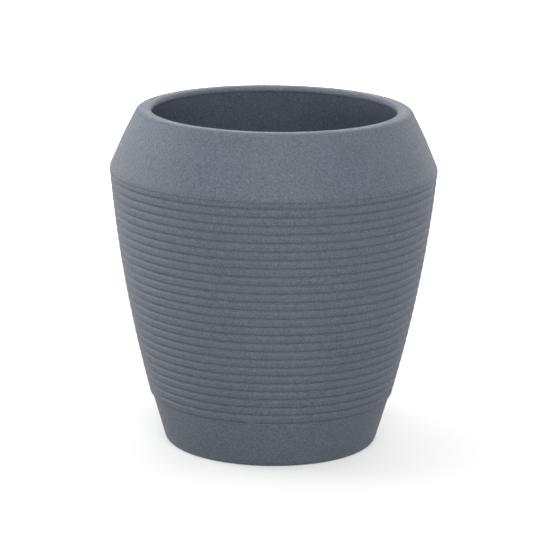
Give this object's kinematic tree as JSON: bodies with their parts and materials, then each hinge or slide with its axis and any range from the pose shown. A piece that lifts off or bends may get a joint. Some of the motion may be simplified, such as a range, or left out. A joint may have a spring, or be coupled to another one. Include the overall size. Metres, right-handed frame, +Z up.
{
  "type": "self watering planter",
  "caption": "Round ribbed self-watering planter with a thick rim and a lift-out insert: separator plate, wick baskets, fill tube with lid, float level indicator, overflow and drain bung.",
  "frame": {"origin": "centre of the face that the pot stands on", "axes": "+Z up along the pot's own axis, -Y towards the front, where the fill tube and level indicator stand"},
  "size_m": [0.4062, 0.4062, 0.422],
  "materials": {
    "pot_plastic": "matte, finely speckled, slate blue-grey",
    "black_plastic": "moulded",
    "grey_plastic": "moulded",
    "lid_plastic": "moulded, satin",
    "white_plastic": "smooth",
    "red_plastic": "smooth",
    "clear_plastic": "clear",
    "float_foam": "closed-cell foam",
    "black_rubber": "matte",
    "seal_rubber": "matte",
    "steel": "stainless pin"
  },
  "bodies": {
    "planter": {"planter_shell": "pot_plastic", "overflow_standpipe": "black_plastic", "standpipe_gasket": "black_rubber", "standpipe_locknut": "black_plastic", "overflow_strainer": "black_plastic"},
    "watering_insert": {"separator_plate": "black_plastic", "wick_basket_1": "black_plastic", "wick_basket_2": "black_plastic", "wick_basket_3": "black_plastic", "wick_basket_4": "black_plastic", "fill_tube": "grey_plastic", "fill_tube_grommet": "black_rubber", "fill_funnel": "grey_plastic", "lid_hinge_pin": "steel", "indicator_tube": "clear_plastic", "indicator_grommet": "black_rubber", "indicator_cap": "clear_plastic", "float_cage": "black_plastic", "tube_bridge": "black_plastic"},
    "fill_lid": {"fill_lid": "lid_plastic"},
    "water_float": {"float_puck": "float_foam", "float_rod": "white_plastic", "indicator_tip": "red_plastic"},
    "drain_bung": {"drain_bung": "black_rubber", "bung_seal_ring": "seal_rubber"}
  },
  "joints": [
    {"name": "insert_lift", "type": "slide", "parent": "planter", "child": "watering_insert", "axis": [0, 0, 1], "range_m": [0, 0.42]},
    {"name": "fill_lid_hinge", "type": "hinge", "parent": "watering_insert", "child": "fill_lid", "pos_m": [-0.024, -0.07039, 0.3909], "axis": [-1, 0, 0], "range_deg": [0, 115]},
    {"name": "float_rise", "type": "slide", "parent": "watering_insert", "child": "water_float", "axis": [0, 0, 1], "range_m": [0, 0.0234]},
    {"name": "bung_pull", "type": "slide", "parent": "planter", "child": "drain_bung", "axis": [0, 0, -1], "range_m": [0, 0.02]}
  ]
}
